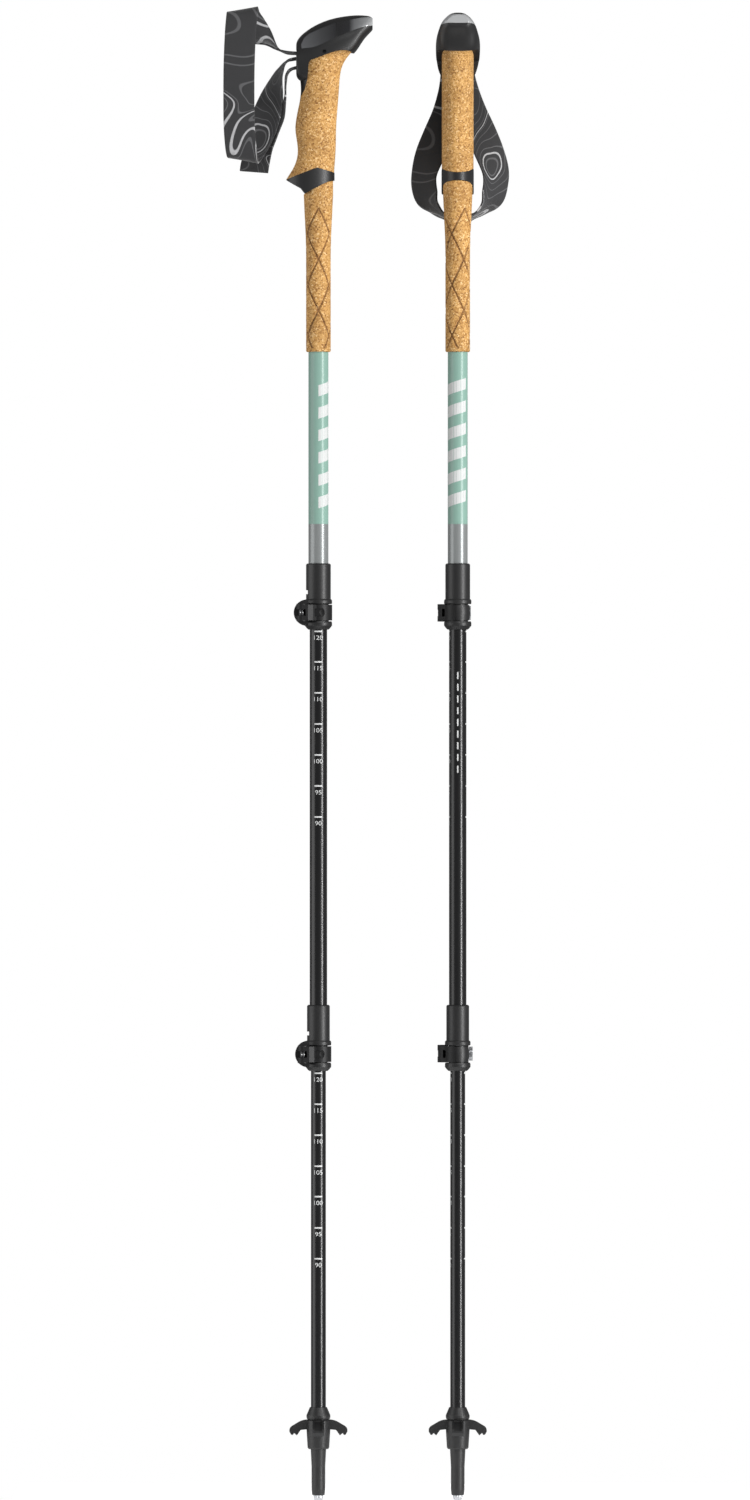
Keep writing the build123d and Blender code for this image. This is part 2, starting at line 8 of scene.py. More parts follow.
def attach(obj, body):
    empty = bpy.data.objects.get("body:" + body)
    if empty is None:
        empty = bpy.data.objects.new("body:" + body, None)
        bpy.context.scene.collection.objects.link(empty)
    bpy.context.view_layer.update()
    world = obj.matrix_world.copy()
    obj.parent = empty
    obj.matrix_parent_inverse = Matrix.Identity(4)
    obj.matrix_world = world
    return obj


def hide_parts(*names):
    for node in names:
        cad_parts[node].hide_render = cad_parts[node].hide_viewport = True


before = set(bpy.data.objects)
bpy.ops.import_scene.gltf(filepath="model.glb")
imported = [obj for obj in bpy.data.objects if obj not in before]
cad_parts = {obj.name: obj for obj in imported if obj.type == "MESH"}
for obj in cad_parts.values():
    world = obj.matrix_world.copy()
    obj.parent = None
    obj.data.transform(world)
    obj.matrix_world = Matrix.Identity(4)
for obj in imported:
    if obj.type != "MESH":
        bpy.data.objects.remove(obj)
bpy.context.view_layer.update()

# ------------------------------------------------------------------ where the poles stand
# Two like poles stand side by side, the right one turned a quarter turn so its nose points
# forward. Everything below is measured in millimetres up one pole from its carbide point,
# then put on each pole with its own placement.
GRIP_HEIGHT = 1110.0
POLE_SPACING = 112.0
MM = 0.001
SIDES = {
    "left": Matrix.Translation((0, 0, -GRIP_HEIGHT * MM)) @ Matrix.Scale(MM, 4),
    "right": Matrix.Translation((POLE_SPACING * MM, 0, -GRIP_HEIGHT * MM))
    @ Matrix.Rotation(radians(-90), 4, "Z") @ Matrix.Scale(MM, 4),
}

# ------------------------------------------------------------------ camera
# A long lens, level with the middle of the poles.
VIEW_HEIGHT = 1206.0          # how much of the poles' height fills the frame
VIEW_MIDDLE = (45.5, 609.4)   # across from the left pole, and up from its point
VIEW_DISTANCE = 9.0
bpy.ops.object.camera_add(
    location=(VIEW_MIDDLE[0] * MM, -VIEW_DISTANCE, (VIEW_MIDDLE[1] - GRIP_HEIGHT) * MM),
    rotation=(radians(90), 0, 0),
)
camera = bpy.context.object
camera.name = "camera"
camera.data.sensor_width = 36.0
camera.data.lens = 36.0 * VIEW_DISTANCE / (VIEW_HEIGHT * MM)
camera.data.clip_end = 100.0
bpy.context.scene.camera = camera
bpy.context.scene.view_settings.view_transform = "Standard"

# ------------------------------------------------------------------ wrist straps
# One length of 25 mm woven webbing on each pole, with a printed pattern of contour lines. It is
# sewn round the head's pin, makes the loop for the hand, goes back into the head, round the
# wedge and out again as the free tail. Each station is the middle of the webbing and the way
# its width points.
STRAP_WIDTH = 25.0
STRAP_THICKNESS = 1.5
STRAP_COLUMNS = 10            # faces across the webbing
STRAP_STEPS = 6               # faces along it from one station to the next
YARN_ACROSS, YARN_ALONG = 1.3, 1.6
CONTOURS = 17.0               # level lines in the printed pattern's range of heights
STRAP_ROOT = [
    ((2.6, 0, 1169.9), (0, 1, 0)), ((-8, 0, 1169.7), (0, 1, 0)), ((-17.5, 0, 1169.5), (0, 1, 0)),
]
STRAP_WEDGE_TURN = [
    ((-17.5, 0, 1165.2), (0, -1, 0)), ((-13.4, 0, 1164.6), (0, -1, 0)),
    ((-10.8, 0, 1163.7), (0, -1, 0)), ((-9.9, 0, 1161.4), (0, -1, 0)),
    ((-10.8, 0, 1159.1), (0, -1, 0)), ((-13.4, 0, 1158.2), (0, -1, 0)),
    ((-17.5, 0, 1157.9), (0, -1, 0)),
]
STRAP_LOOP = {
    "left": [
        ((-26, 0, 1170.2), (0, 1, 0)), ((-33, 1, 1172.8), (0.02, 0.99, 0.09)),
        ((-38.9, 2, 1177.5), (0.25, 0.95, 0.16)), ((-47.5, 4.5, 1184.5), (0.6, 0.62, 0.5)),
        ((-54, 6.5, 1192.5), (0.88, 0.35, 0.3)), ((-58.8, 7.5, 1198.5), (0.98, 0.1, 0.16)),
        ((-60.4, 4.2, 1203.2), (0.985, 0, 0.17)), ((-60.9, -3, 1204.0), (0.985, 0, 0.17)),
        ((-61.4, -8.4, 1199.6), (0.99, 0, 0.1)), ((-62.6, -10.5, 1185), (1, 0, 0.04)),
        ((-63.6, -11, 1160), (1, 0, 0)), ((-63.8, -11, 1135), (1, 0, 0)),
        ((-63.6, -11, 1112), (1, 0, -0.02)), ((-62.4, -10, 1095), (0.99, 0, -0.1)),
        ((-61.0, -6.5, 1086.4), (0.98, 0, -0.18)), ((-60.2, 0, 1084.0), (0.98, 0, -0.18)),
        ((-58.6, 5.4, 1087), (0.97, -0.05, -0.24)), ((-54.6, 7, 1093.6), (0.94, -0.12, -0.34)),
        ((-49.8, 7, 1101.4), (0.92, -0.2, -0.36)), ((-45.2, 6.8, 1111), (0.9, -0.3, -0.34)),
        ((-40.9, 6.4, 1122.8), (0.84, -0.45, -0.3)), ((-37.4, 5.4, 1134.6), (0.7, -0.68, -0.18)),
        ((-33.6, 4, 1147.6), (0.4, -0.91, -0.05)), ((-30, 2.4, 1155.8), (0.22, -0.97, 0)),
        ((-25, 0.6, 1163), (0.05, -1, 0)),
    ],
    "right": [
        ((-26, 0, 1165.4), (0, 1, 0)), ((-32.6, -1, 1155), (0, 1, 0)),
        ((-35, -3, 1140), (0, 0.99, -0.1)), ((-34.6, -8, 1122), (0, 0.95, -0.3)),
        ((-33.5, -15, 1106), (0.15, 0.9, -0.38)), ((-31.5, -22, 1090), (0.35, 0.86, -0.36)),
        ((-29, -26.5, 1075), (0.6, 0.78, -0.2)), ((-27.8, -27, 1065), (0.62, 0.78, -0.05)),
        ((-27, -24.5, 1055), (0.64, 0.75, -0.12)), ((-26.5, -19, 1047), (0.75, 0.6, -0.28)),
        ((-26, -11, 1040), (0.88, 0.38, -0.08)), ((-26, 1, 1036.8), (0.92, 0, 0.38)),
        ((-26, 13.4, 1040), (0.88, -0.38, -0.08)), ((-26.5, 22, 1046.6), (0.75, -0.6, -0.28)),
        ((-27, 28, 1055), (0.64, -0.75, -0.12)), ((-27.6, 30.6, 1065), (0.62, -0.78, 0)),
        ((-28.5, 30.5, 1077), (0.5, -0.85, -0.15)), ((-29.5, 25.5, 1092), (0.3, -0.9, -0.3)),
        ((-30.5, 18.5, 1108), (0.1, -0.92, -0.35)), ((-31, 11, 1124), (0, -0.93, -0.35)),
        ((-30.8, 5, 1140), (0, -0.97, -0.2)), ((-28.6, 1.5, 1153), (0, -1, -0.05)),
        ((-23.6, 0, 1162.6), (0, -1, 0)),
    ],
}
STRAP_TAIL = {
    "left": [
        ((-22.4, 1, 1156), (0, -1, 0)), ((-25.4, 2.4, 1151.6), (0, -1, 0)),
        ((-26.4, 4.6, 1144), (0, -1, 0)), ((-26.9, 8, 1132), (0.05, -1, 0)),
        ((-30.2, 12.4, 1119), (0.25, -0.95, 0)), ((-38.5, 14.8, 1106), (0.52, -0.84, -0.1)),
        ((-46.8, 15.4, 1094), (0.76, -0.58, -0.22)), ((-50.6, 14.8, 1083), (0.84, -0.42, -0.24)),
        ((-52, 14, 1074.7), (0.85, -0.4, -0.245)),
    ],
    "right": [
        ((-22, 0, 1154.5), (0, -1, 0)), ((-23, 0, 1142), (0, -1, 0)), ((-23.4, 0, 1126), (0, -1, 0)),
        ((-23.2, 0, 1110), (0, -1, 0)), ((-22.6, 0, 1096), (0, -1, 0)), ((-22.4, 0, 1088), (0, -1, 0)),
    ],
}


def new_material(name, colour, roughness, metallic=0.0):
    """A material with its colour and finish set on the shader's own sockets."""
    made = bpy.data.materials.new(name)
    made.use_nodes = True
    shader = made.node_tree.nodes["Principled BSDF"]
    shader.inputs["Base Color"].default_value = (*colour, 1)
    shader.inputs["Roughness"].default_value = roughness
    shader.inputs["Metallic"].default_value = metallic
    return made, shader


def node(material, kind, **values):
    """A node in the material: plain names set its settings, names in capitals its sockets."""
    made = material.node_tree.nodes.new(kind)
    for name, value in values.items():
        if name[0].isupper():
            made.inputs[name.replace("_", " ")].default_value = value
        else:
            setattr(made, name, value)
    return made


def join(material, *route):
    """Link output to input, pair by pair."""
    for start, end in zip(route[::2], route[1::2]):
        material.node_tree.links.new(start, end)


def math(material, operation, first, second=0.0):
    """The output of a sum on two values, each a number or another node's output."""
    made = node(material, "ShaderNodeMath", operation=operation)
    for slot, value in zip(made.inputs, (first, second)):
        if isinstance(value, (int, float)):
            slot.default_value = value
        else:
            join(material, value, slot)
    return made.outputs[0]


def ramp(material, factor, *stops):
    """A colour ramp through (place, grey or colour) stops."""
    made = node(material, "ShaderNodeValToRGB")
    while len(made.color_ramp.elements) < len(stops):
        made.color_ramp.elements.new(0.5)
    for element, (place, colour) in zip(made.color_ramp.elements, stops):
        element.position = place
        if isinstance(colour, (int, float)):
            colour = (colour,) * 3
        element.color = (*colour, 1)
    join(material, factor, made.inputs[0])
    return made.outputs[0]


def bump(material, shader, height, strength, distance):
    """Tilt the shader's normal by a height, distance in metres."""
    made = node(material, "ShaderNodeBump", Strength=strength, Distance=distance)
    join(material, height, made.inputs["Height"], made.outputs[0], shader.inputs["Normal"])


webbing, shader = new_material("woven_webbing", (0.035, 0.035, 0.037), 0.75)
shader.inputs["Sheen Weight"].default_value = 0.25
shader.inputs["Sheen Roughness"].default_value = 0.5
along = node(webbing, "ShaderNodeUVMap", uv_map="weave")
apart = node(webbing, "ShaderNodeSeparateXYZ")
join(webbing, along.outputs[0], apart.inputs[0])
down, across = apart.outputs[0], apart.outputs[1]
# plain weave of ribbed yarns: the UV map is in millimetres along and across
ribs = math(webbing, "SINE", math(webbing, "MULTIPLY", across, 2 * pi / YARN_ACROSS))
ribs = math(webbing, "ABSOLUTE", ribs)
picks = math(webbing, "SINE", math(webbing, "MULTIPLY", down, 2 * pi / YARN_ALONG))
picks = math(webbing, "ABSOLUTE", picks)
picks = math(webbing, "ADD", math(webbing, "MULTIPLY", picks, 0.6), 0.4)
weave = math(webbing, "MULTIPLY", ribs, picks)
# contour lines: level sets of a smooth hilly field
hills = node(webbing, "ShaderNodeTexNoise", noise_dimensions="2D", Scale=0.014, Detail=0.8,
             Roughness=0.4, Distortion=0.6)
join(webbing, along.outputs[0], hills.inputs["Vector"])
level = math(webbing, "MULTIPLY", hills.outputs[0], CONTOURS)
edge = math(webbing, "PINGPONG", level, 0.5)
thin = ramp(webbing, edge, (0.0, 1.0), (0.04, 0.9), (0.065, 0.0))
bold_level = math(webbing, "ADD", math(webbing, "MULTIPLY", level, 0.25), 0.1)
bold_level = math(webbing, "PINGPONG", bold_level, 0.5)
bold = ramp(webbing, bold_level, (0.0, 1.0), (0.016, 1.0), (0.022, 0.0))
grey = node(webbing, "ShaderNodeMix", data_type="RGBA")
grey.inputs[6].default_value = (0.022, 0.022, 0.024, 1)
grey.inputs[7].default_value = (0.11, 0.11, 0.115, 1)
join(webbing, thin, grey.inputs[0])
white = node(webbing, "ShaderNodeMix", data_type="RGBA")
white.inputs[7].default_value = (0.52, 0.52, 0.53, 1)
join(webbing, bold, white.inputs[0], grey.outputs[2], white.inputs[6])
shade = node(webbing, "ShaderNodeMix", data_type="RGBA", blend_type="MULTIPLY")
shade.inputs[0].default_value = 0.45
join(webbing, white.outputs[2], shade.inputs[6], weave, shade.inputs[7],
     shade.outputs[2], shader.inputs["Base Color"])
bump(webbing, shader, weave, 0.5, 0.00018)


def through(stations, steps):
    """Points and widths on a smooth curve through the stations, steps to a run."""
    smooth = []
    count = len(stations)
    for index in range(count - 1):
        four = [stations[min(max(index + k, 0), count - 1)] for k in (-1, 0, 1, 2)]
        for step in range(steps):
            t = step / steps
            weights = (
                -0.5 * t ** 3 + t ** 2 - 0.5 * t, 1.5 * t ** 3 - 2.5 * t ** 2 + 1,
                -1.5 * t ** 3 + 2 * t ** 2 + 0.5 * t, 0.5 * t ** 3 - 0.5 * t ** 2,
            )
            smooth.append([
                sum((w * Vector(four[k][part]) for k, w in enumerate(weights)), Vector())
                for part in (0, 1)
            ])
    smooth.append([Vector(stations[-1][0]), Vector(stations[-1][1])])
    return smooth


for side, place in SIDES.items():
    stations = STRAP_ROOT + STRAP_LOOP[side] + STRAP_WEDGE_TURN + STRAP_TAIL[side]
    line = through(stations, STRAP_STEPS)
    mesh = bpy.data.meshes.new(f"{side}_strap_webbing")
    strap = bpy.data.objects.new(f"{side}_strap_webbing", mesh)
    bpy.context.collection.objects.link(strap)
    cloth = bmesh.new()
    weave_map = cloth.loops.layers.uv.new("weave")
    rows, run = [], 0.0
    lengths = []
    for index, (middle, width) in enumerate(line):
        before = line[max(index - 1, 0)][0]
        after = line[min(index + 1, len(line) - 1)][0]
        forward = (after - before).normalized()
        if index:
            run += (middle - line[index - 1][0]).length
        lengths.append(run)
        sideways = (width - forward * width.dot(forward)).normalized()
        rows.append([
            cloth.verts.new(middle + sideways * STRAP_WIDTH * (k / STRAP_COLUMNS - 0.5))
            for k in range(STRAP_COLUMNS + 1)
        ])
    for index in range(len(rows) - 1):
        for k in range(STRAP_COLUMNS):
            near, far = rows[index], rows[index + 1]
            face = cloth.faces.new((near[k], near[k + 1], far[k + 1], far[k]))
            face.smooth = True
            corners = ((index, k), (index, k + 1), (index + 1, k + 1), (index + 1, k))
            for loop, (row, column) in zip(face.loops, corners):
                loop[weave_map].uv = (lengths[row], STRAP_WIDTH * column / STRAP_COLUMNS)
    cloth.to_mesh(mesh)
    cloth.free()
    mesh.transform(place)
    thick = strap.modifiers.new("thickness", "SOLIDIFY")
    thick.thickness = STRAP_THICKNESS * MM
    thick.offset = 0
    soft = strap.modifiers.new("selvedge", "BEVEL")
    soft.width = 0.35 * MM
    soft.segments = 2
    soft.limit_method = "ANGLE"
    soft.angle_limit = radians(60)
    mesh.materials.append(webbing)
    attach(strap, f"{side}_upper")
    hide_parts(f"{side}_strap")
    print(side, "strap", round(run, 1), "mm")

# ------------------------------------------------------------------ cork grip
# Agglomerated cork: a shaped block for the hand, sanded smooth, and a straight sleeve below it
# with three grooves cut round it each way for a second hold. Both are glued on the tube.
cork, shader = new_material("cork", (0.60, 0.36, 0.15), 0.78)
where = node(cork, "ShaderNodeTexCoord")
grain = node(cork, "ShaderNodeTexVoronoi", Scale=1000.0, Randomness=1.0)
warp = node(cork, "ShaderNodeTexNoise", Scale=900.0, Detail=3.0)
bent = node(cork, "ShaderNodeMix", data_type="VECTOR")
bent.inputs[0].default_value = 0.0011
join(cork, where.outputs["Object"], warp.inputs["Vector"], where.outputs["Object"], bent.inputs[4],
     warp.outputs["Color"], bent.inputs[5], bent.outputs[1], grain.inputs["Vector"])
grain_shade = node(cork, "ShaderNodeSeparateColor")
join(cork, grain.outputs["Color"], grain_shade.inputs[0])
tones = ramp(
    cork, grain_shade.outputs[0],
    (0.0, (0.22, 0.095, 0.020)), (0.08, (0.36, 0.175, 0.045)), (0.28, (0.48, 0.255, 0.070)),
    (0.6, (0.60, 0.345, 0.112)), (0.88, (0.70, 0.43, 0.165)), (1.0, (0.86, 0.62, 0.33)),
)
fine = node(cork, "ShaderNodeTexNoise", Scale=2600.0, Detail=4.0, Roughness=0.7)
join(cork, where.outputs["Object"], fine.inputs["Vector"])
specks = ramp(
    cork, fine.outputs[0],
    (0.34, (0.42, 0.24, 0.10)), (0.46, 1.0), (0.62, 1.0), (0.75, (1.25, 1.2, 1.1)),
)
toned = node(cork, "ShaderNodeMix", data_type="RGBA", blend_type="MULTIPLY")
toned.inputs[0].default_value = 0.85
broad = node(cork, "ShaderNodeTexNoise", Scale=60.0, Detail=2.0)
join(cork, where.outputs["Object"], broad.inputs["Vector"])
patches = ramp(cork, broad.outputs[0], (0.35, (0.88, 0.84, 0.78)), (0.65, (1.08, 1.05, 1.0)))
worn = node(cork, "ShaderNodeMix", data_type="RGBA", blend_type="MULTIPLY")
worn.inputs[0].default_value = 1.0
# the cut grooves are darkened: painted shade in the groove hollows, with the cut cork's own darker tone
groove_tone_and_shade = node(cork, "ShaderNodeAttribute", attribute_name="groove_tone_and_shade")
groove_tone_and_shade_mix = node(cork, "ShaderNodeMix", data_type="RGBA", blend_type="MULTIPLY")
groove_tone_and_shade_mix.inputs[7].default_value = (0.42, 0.34, 0.26, 1)
join(cork, tones, toned.inputs[6], specks, toned.inputs[7], toned.outputs[2], worn.inputs[6],
     patches, worn.inputs[7], worn.outputs[2], groove_tone_and_shade_mix.inputs[6], groove_tone_and_shade.outputs["Fac"], groove_tone_and_shade_mix.inputs[0],
     groove_tone_and_shade_mix.outputs[2], shader.inputs["Base Color"])
pits = math(cork, "ADD", math(cork, "MULTIPLY", grain.outputs["Distance"], -0.5),
            math(cork, "MULTIPLY", fine.outputs[0], 0.8))
bump(cork, shader, pits, 0.35, 0.00025)


def finish(node_name, material):
    """Give a carried-over piece its material."""
    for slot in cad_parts[node_name].material_slots:
        slot.material = material


def select_only(thing):
    bpy.ops.object.select_all(action="DESELECT")
    thing.select_set(True)
    bpy.context.view_layer.objects.active = thing


def lathe(name, outline, steps):
    """A piece spun about the pole's axis from its (radius, height) outline."""
    mesh = bpy.data.meshes.new(name)
    mesh.from_pydata(
        [(radius, 0, height) for radius, height in outline],
        [(k, k + 1) for k in range(len(outline) - 1)], [],
    )
    made = bpy.data.objects.new(name, mesh)
    bpy.context.collection.objects.link(made)
    select_only(made)
    bpy.ops.object.mode_set(mode="EDIT")
    bpy.ops.mesh.select_all(action="SELECT")
    bpy.ops.mesh.spin(steps=steps, angle=2 * pi, center=(0, 0, 0), axis=(0, 0, 1))
    bpy.ops.mesh.select_all(action="SELECT")
    bpy.ops.mesh.remove_doubles(threshold=0.0005)
    bpy.ops.mesh.normals_make_consistent(inside=False)
    bpy.ops.object.mode_set(mode="OBJECT")
    for face in mesh.polygons:
        face.use_smooth = True
    return made


def settle(thing, side, body, slot, material, *replaced):
    """Put a piece on its pole, give it its material, hang it from its body and hide the CAD nodes it
    replaces; the slot is not used.
    """
    thing.data.transform(SIDES[side])
    thing.data.materials.clear()
    thing.data.materials.append(material)
    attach(thing, f"{side}_{body}")
    if replaced:
        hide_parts(*[f"{side}_{name}" for name in replaced])


SLEEVE_FOOT, SLEEVE_TOP = 929.4, 1067.2
SLEEVE_ROUND = 930.1          # where the small chamfer at the foot ends
SLEEVE_BORE, SLEEVE_FACE, SLEEVE_RADIUS = 8.03, 9.2, 9.9
SLEEVE_SKIN = 9.5             # what lies further out than this is the sleeve's outside
SLEEVE_PROFILE = [
    (SLEEVE_FOOT, SLEEVE_FACE), (SLEEVE_ROUND, SLEEVE_RADIUS), (1008, SLEEVE_RADIUS),
    (1022, 10.2), (1042, 11.2), (1056, 11.8), (1072, 11.8),
]
SLEEVE_SPREAD = 1.15          # how far the top edge spreads when the straight rings are shaped
SLEEVE_RINGS, SLEEVE_SEGMENTS = 250, 190
SLEEVE_EDGE = [(-12.5, 1055.4), (-10.5, 1056.5), (-3.0, 1060.6), (7.0, 1065.6), (12.5, 1067.2)]
GROOVE_TURN = 120             # degrees from one groove to the next: three each way
GROOVE_RISE = 40.8            # climb of one groove over that turn
GROOVE_APEX = 1044.3          # where the grooves first cross, on the -Y side
GROOVE_LOW, GROOVE_HIGH = 932.0, GROOVE_APEX + 0.8
GROOVE_DEPTH = 0.75
GROOVE_WIDTH = 0.78
SHAPED_ABOVE = 1046.0         # above this the rings lean to meet the collar


def between(table, x):
    """Straight-line reading from a table of (x, y) pairs."""
    for (x0, y0), (x1, y1) in zip(table, table[1:]):
        if x <= x1:
            return y0 + (y1 - y0) * (x - x0) / (x1 - x0)
    return table[-1][1]


def groove(turn, height, radius):
    """Depth of the crossing grooves at an azimuth in degrees and a height."""
    if not GROOVE_LOW < height < GROOVE_HIGH:
        return 0.0
    spacing = 1 / sqrt(1 / GROOVE_RISE ** 2 + 1 / (radians(GROOVE_TURN) * radius) ** 2)
    depth = 0.0
    for hand in (-1, 1):
        place = (height - GROOVE_APEX) / GROOVE_RISE + hand * turn / GROOVE_TURN
        away = abs(place - round(place)) * spacing
        depth = max(depth, GROOVE_DEPTH * exp(-(away / GROOVE_WIDTH) ** 4))
    return depth


outline = [(SLEEVE_BORE, SLEEVE_FOOT), (SLEEVE_FACE, SLEEVE_FOOT)]
for ring in range(SLEEVE_RINGS + 1):
    outline.append((SLEEVE_RADIUS, SLEEVE_ROUND + (SLEEVE_TOP - SLEEVE_ROUND) * ring / SLEEVE_RINGS))
outline += [(SLEEVE_BORE, SLEEVE_TOP), (SLEEVE_BORE, SLEEVE_FOOT)]
for side in SIDES:
    finish(f"{side}_cork_grip", cork)
    sleeve = lathe(f"{side}_grooved_sleeve", outline, SLEEVE_SEGMENTS)
    # how deep each point lies in a groove; this sets the painted groove shade and darker tone in the cork
    # material
    groove_tone_and_shade_layer = sleeve.data.attributes.new("groove_tone_and_shade", "FLOAT", "POINT")
    for vertex in sleeve.data.vertices:
        x, y, height = vertex.co
        radius = sqrt(x * x + y * y)
        if height > SHAPED_ABOVE:
            stretch = (height - SHAPED_ABOVE) / (SLEEVE_TOP - SHAPED_ABOVE)
            height = SHAPED_ABOVE + stretch * (between(SLEEVE_EDGE, x * SLEEVE_SPREAD) - SHAPED_ABOVE)
        if radius > SLEEVE_SKIN:
            outer = between(SLEEVE_PROFILE, height)
            depth = groove(atan2(x, -y) * 180 / pi, height, outer)
            groove_tone_and_shade_layer.data[vertex.index].value = depth / GROOVE_DEPTH
            outer -= depth
            x, y = x * outer / radius, y * outer / radius
        vertex.co = (x, y, height)
    settle(sleeve, side, "upper", "cork", cork, "cork_sleeve")

# ------------------------------------------------------------------ black mouldings
# Glass-filled nylon with a fine spark-eroded texture: head, collar, lock bodies, tip and basket.
moulded, shader = new_material("moulded_black", (0.012, 0.012, 0.0125), 0.42)
where = node(moulded, "ShaderNodeTexCoord")
texture = node(moulded, "ShaderNodeTexNoise", Scale=1700.0, Detail=3.0, Roughness=0.6)
join(moulded, where.outputs["Object"], texture.inputs["Vector"])
bump(moulded, shader, texture.outputs[0], 0.12, 0.0001)
sheen = ramp(moulded, texture.outputs[0], (0.3, 0.34), (0.7, 0.52))
join(moulded, sheen, shader.inputs["Roughness"])

smooth_black, shader = new_material("lever_black", (0.010, 0.010, 0.0105), 0.46)
shader.inputs["Specular IOR Level"].default_value = 0.28
where = node(smooth_black, "ShaderNodeTexCoord")
texture = node(smooth_black, "ShaderNodeTexNoise", Scale=900.0, Detail=2.0)
join(smooth_black, where.outputs["Object"], texture.inputs["Vector"])
bump(smooth_black, shader, texture.outputs[0], 0.08, 0.0001)

WINDOW_BACK = 0.014           # how far the side windows reach behind the tube's axis
WINDOW_RUN = 0.058            # and their whole run along the head, in metres


def window_glass(side, nose):
    """Smoked clear plastic whose darkness changes along the head towards the nose."""
    glass, shader = new_material(f"{side}_smoked_window", (0.03, 0.031, 0.033), 0.1)
    shader.inputs["Coat Weight"].default_value = 0.5
    shader.inputs["Coat Roughness"].default_value = 0.04
    where = node(glass, "ShaderNodeTexCoord")
    ahead = node(glass, "ShaderNodeVectorMath", operation="DOT_PRODUCT")
    ahead.inputs[1].default_value = nose
    join(glass, where.outputs["Object"], ahead.inputs[0])
    reach = math(glass, "DIVIDE", math(glass, "ADD", ahead.outputs["Value"], WINDOW_BACK), WINDOW_RUN)
    tint = ramp(
        glass, reach,
        (0.0, (0.12, 0.123, 0.13)), (0.28, (0.05, 0.051, 0.054)), (0.47, (0.02, 0.02, 0.022)),
        (0.52, (0.012, 0.012, 0.013)), (0.67, (0.016, 0.016, 0.018)), (0.74, (0.13, 0.133, 0.138)),
        (0.9, (0.26, 0.265, 0.27)), (1.0, (0.38, 0.385, 0.39)),
    )
    join(glass, tint, shader.inputs["Base Color"])
    return glass


smoked = {"left": window_glass("left", (1, 0, 0)), "right": window_glass("right", (0, -1, 0))}

steel, shader = new_material("plain_steel", (0.55, 0.56, 0.58), 0.3, 1.0)
where = node(steel, "ShaderNodeTexCoord")
texture = node(steel, "ShaderNodeTexNoise", Scale=500.0, Detail=2.0)
join(steel, where.outputs["Object"], texture.inputs["Vector"],
     ramp(steel, texture.outputs[0], (0.3, 0.22), (0.7, 0.38)), shader.inputs["Roughness"])

dark_steel, shader = new_material("blackened_steel", (0.05, 0.05, 0.052), 0.4, 0.8)

bushing, shader = new_material("grey_bush", (0.30, 0.31, 0.32), 0.5)

for side in SIDES:
    for piece in ("grip_head", "grip_collar", "strap_wedge", "upper_lock_sleeve", "upper_lock_band",
                  "lower_lock_sleeve", "lower_lock_band", "tip_ferrule", "basket"):
        finish(f"{side}_{piece}", moulded)
    for piece in ("upper_lock_lever", "lower_lock_lever"):
        finish(f"{side}_{piece}", smooth_black)
    for piece in ("upper_lock_nut", "lower_lock_nut", "carbide_tip"):
        finish(f"{side}_{piece}", steel)
    for piece in ("head_pin", "upper_lock_screw", "upper_lock_pin", "lower_lock_screw", "lower_lock_pin"):
        finish(f"{side}_{piece}", dark_steel)
    for piece in ("mid_guide", "lower_guide"):
        finish(f"{side}_{piece}", bushing)
    for piece in ("side_windows", "nose_window"):
        finish(f"{side}_{piece}", smoked[side])

# ------------------------------------------------------------------ tubes
# Drawn aluminium tubes. The upper one is lacquered mint down to a bare band above the first
# lock, and the other two are anodised gloss black.
MINT_FOOT = 791.0
lacquer, shader = new_material("mint_lacquer", (0.20, 0.35, 0.29), 0.32)
where = node(lacquer, "ShaderNodeTexCoord")
apart = node(lacquer, "ShaderNodeSeparateXYZ")
join(lacquer, where.outputs["Object"], apart.inputs[0])
bare = math(lacquer, "LESS_THAN", apart.outputs[2], (MINT_FOOT - GRIP_HEIGHT) * MM)
colour = node(lacquer, "ShaderNodeMix", data_type="RGBA")
colour.inputs[6].default_value = (0.225, 0.375, 0.315, 1)
colour.inputs[7].default_value = (0.27, 0.285, 0.285, 1)
join(lacquer, bare, colour.inputs[0], colour.outputs[2], shader.inputs["Base Color"],
     math(lacquer, "MULTIPLY", bare, 0.35), shader.inputs["Metallic"])

anodised, shader = new_material("black_anodised", (0.006, 0.006, 0.0065), 0.2)
where = node(anodised, "ShaderNodeTexCoord")
texture = node(anodised, "ShaderNodeTexNoise", Scale=25.0, Detail=1.0)
join(anodised, where.outputs["Object"], texture.inputs["Vector"],
     ramp(anodised, texture.outputs[0], (0.3, 0.24), (0.7, 0.28)), shader.inputs["Roughness"])

for side in SIDES:
    finish(f"{side}_upper_tube", lacquer)
    finish(f"{side}_mid_tube", anodised)
    finish(f"{side}_lower_tube", anodised)

# ------------------------------------------------------------------ printing
# Screen print on the tubes: length bars with numbers on both lower tubes, a row of dashes, and
# slanted white stripes on the mint.
print_white, shader = new_material("white_print", (0.60, 0.61, 0.605), 0.5)
PRINT_THICKNESS = 0.03
BAR_WIDTH, BAR_TALL = 6.5, 1.2
SCALES = {
    "mid": (7.0, (704.7, 680.2, 655.3, 630.3, 605.4, 580.5, 555.6)),
    "lower": (6.0, (349.7, 324.8, 299.9, 275.0, 250.5, 225.4, 200.6)),
}
NUMBERS = ("120", "115", "110", "105", "100", "95", "90")
NUMBER_DROP = 3.3             # from a bar's middle down to the top of its number
DIGIT_TALL = 3.5
DIGIT_SHARE = 0.7             # a figure's height as a share of the type size
DIGIT_STRETCH = 1.12
DASH_WIDTH, DASH_TALL, DASH_AZIMUTH = 1.1, 5.6, 90
DASH_FOOT, DASH_STEP, DASH_COUNT = 594.0, 9.4, 9
STRIPE_WIDTH, STRIPE_TALL, STRIPE_SLANT, STRIPE_AZIMUTH = 20.0, 9.0, 6.0, 72
STRIPE_FOOT, STRIPE_STEP, STRIPE_COUNT = 811.0, 18.0, 6
STRIPE_TUBE = 8.0             # radius of the tube the stripes are on
